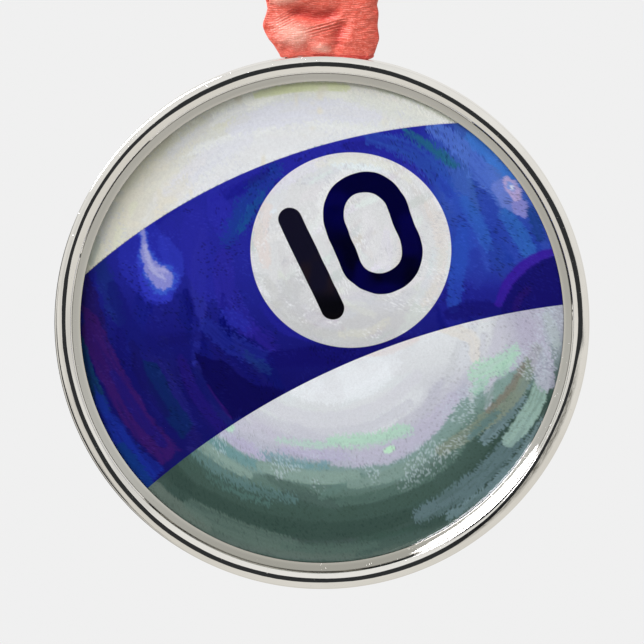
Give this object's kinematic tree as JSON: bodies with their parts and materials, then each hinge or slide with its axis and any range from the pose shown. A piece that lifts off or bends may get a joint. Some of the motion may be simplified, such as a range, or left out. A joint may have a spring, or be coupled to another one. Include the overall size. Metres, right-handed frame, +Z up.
{
  "type": "framed hanging ornament",
  "caption": "Flat round hanging ornament: polished metal frame with a glossy printed disc of a striped numbered pool ball, on a coral satin ribbon loop.",
  "frame": {"origin": "centre of the ornament's back face", "axes": "+X to the right seen from the front, -Y towards the viewer (the picture faces -Y), +Z up towards the ribbon's knot"},
  "size_m": [0.0732, 0.0166, 0.1584],
  "materials": {
    "silver_plate": "polished",
    "clear_film": "gloss",
    "picture_paper": "gloss",
    "tin_plate": "satin",
    "foam": "matte",
    "polished_back": "polished",
    "satin_ribbon": "satin"
  },
  "bodies": {
    "ribbon_top": {"ribbon_knot": "satin_ribbon", "ribbon_upper_front": "satin_ribbon", "ribbon_upper_back": "satin_ribbon"},
    "ribbon_mid": {"ribbon_mid_front": "satin_ribbon", "ribbon_mid_back": "satin_ribbon"},
    "ribbon_low": {"ribbon_lower": "satin_ribbon"},
    "ornament": {"bezel_ring": "silver_plate", "hanger_bail": "silver_plate", "film_cover": "clear_film", "picture_print": "picture_paper", "button_shell": "tin_plate", "button_back": "tin_plate", "foam_pad": "foam", "back_plate": "polished_back"},
    "tail_front": {"ribbon_tail_front": "satin_ribbon"},
    "tail_back": {"ribbon_tail_back": "satin_ribbon"}
  },
  "joints": [
    {"name": "ribbon_fold", "type": "hinge", "parent": "ribbon_top", "child": "ribbon_mid", "pos_m": [0, -0.0032, 0.071], "axis": [1, 0, 0], "range_deg": [-60, 60]},
    {"name": "ribbon_twist", "type": "hinge", "parent": "ribbon_mid", "child": "ribbon_low", "pos_m": [0, -0.0032, 0.053], "axis": [0, 0, 1], "range_deg": [-170, 170]},
    {"name": "bail_swing", "type": "hinge", "parent": "ribbon_low", "child": "ornament", "pos_m": [0, -0.0032, 0.039], "axis": [1, 0, 0], "range_deg": [-75, 75]},
    {"name": "tail_front_flop", "type": "hinge", "parent": "ribbon_top", "child": "tail_front", "pos_m": [0, -0.0048, 0.1039], "axis": [1, 0, 0], "range_deg": [-35, 35]},
    {"name": "tail_back_flop", "type": "hinge", "parent": "ribbon_top", "child": "tail_back", "pos_m": [0, -0.0016, 0.1039], "axis": [1, 0, 0], "range_deg": [-35, 35]}
  ]
}
